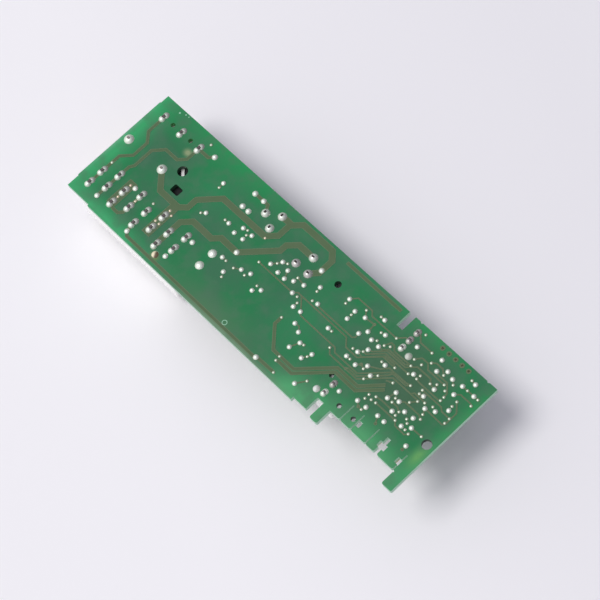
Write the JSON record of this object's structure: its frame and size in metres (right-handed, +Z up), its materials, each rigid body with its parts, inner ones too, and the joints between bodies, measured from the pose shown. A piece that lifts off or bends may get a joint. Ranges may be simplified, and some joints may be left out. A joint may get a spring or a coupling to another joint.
{
  "type": "power supply board",
  "caption": "Long power supply board lying on its tall components, solder side up, with tab headers, soldered joints, tracks and a slotted edge connector.",
  "frame": {"origin": "centre of the bounding box, on the plane that the tallest components lie on", "axes": "+X along the board from the tab headers to the edge connector, +Y across it away from the connector edge, +Z up out of the solder side"},
  "size_m": [0.1372, 0.0406, 0.0223],
  "materials": {
    "laminate": "glass-cloth laminate under green solder mask",
    "masked_copper": "copper under green solder mask",
    "contact_plating": "plated copper",
    "solder": "bright reflowed solder",
    "housing": "natural moulded plastic",
    "tinned_brass": "tin plate",
    "film_case": "moulded box",
    "tinned_wire": "tinned",
    "can": "shrunk sleeve on a bare can",
    "bung": "matt rubber",
    "moulding": "moulded epoxy",
    "heat_tab": "plated tab",
    "cement": "cement coat",
    "ferrite": "pressed ferrite",
    "chip_resistor": "glazed film",
    "chip_capacitor": "fired ceramic"
  },
  "bodies": {
    "root": {"laminate": "laminate", "solder_side_copper": "masked_copper", "component_side_copper": "masked_copper", "edge_contacts": "contact_plating", "test_pad_solder": "solder", "via_solder": "solder", "load_tab_joints": "solder", "mains_tab_joints": "solder", "film_capacitor_joints": "solder", "power_device_joints": "solder", "reservoir_joints": "solder", "small_lead_joints": "solder", "signal_joints": "solder", "load_housing": "housing", "load_tabs": "tinned_brass", "mains_housing": "housing", "mains_tabs": "tinned_brass", "film_capacitor_case": "film_case", "film_capacitor_leads": "tinned_wire", "reservoir_can": "can", "reservoir_bung": "bung", "reservoir_leads": "tinned_wire", "output_can": "can", "output_bung": "bung", "output_leads": "tinned_wire", "power_device_cases": "moulding", "power_device_tabs": "heat_tab", "power_device_leads": "tinned_wire", "wire_wound_body": "cement", "wire_wound_leads": "tinned_wire", "three_way_housing": "housing", "two_way_housing": "housing", "signal_pins": "tinned_brass", "choke_core": "ferrite", "choke_terminals": "tinned_wire", "controller_case": "moulding", "controller_leads": "tinned_wire", "converter_case": "moulding", "converter_leads": "tinned_wire", "diode_cases": "moulding", "diode_leads": "tinned_wire", "transistor_cases": "moulding", "transistor_leads": "tinned_wire", "chip_resistors": "chip_resistor", "chip_resistor_ends": "solder", "chip_capacitors": "chip_capacitor", "chip_capacitor_ends": "solder"}
  },
  "joints": []
}
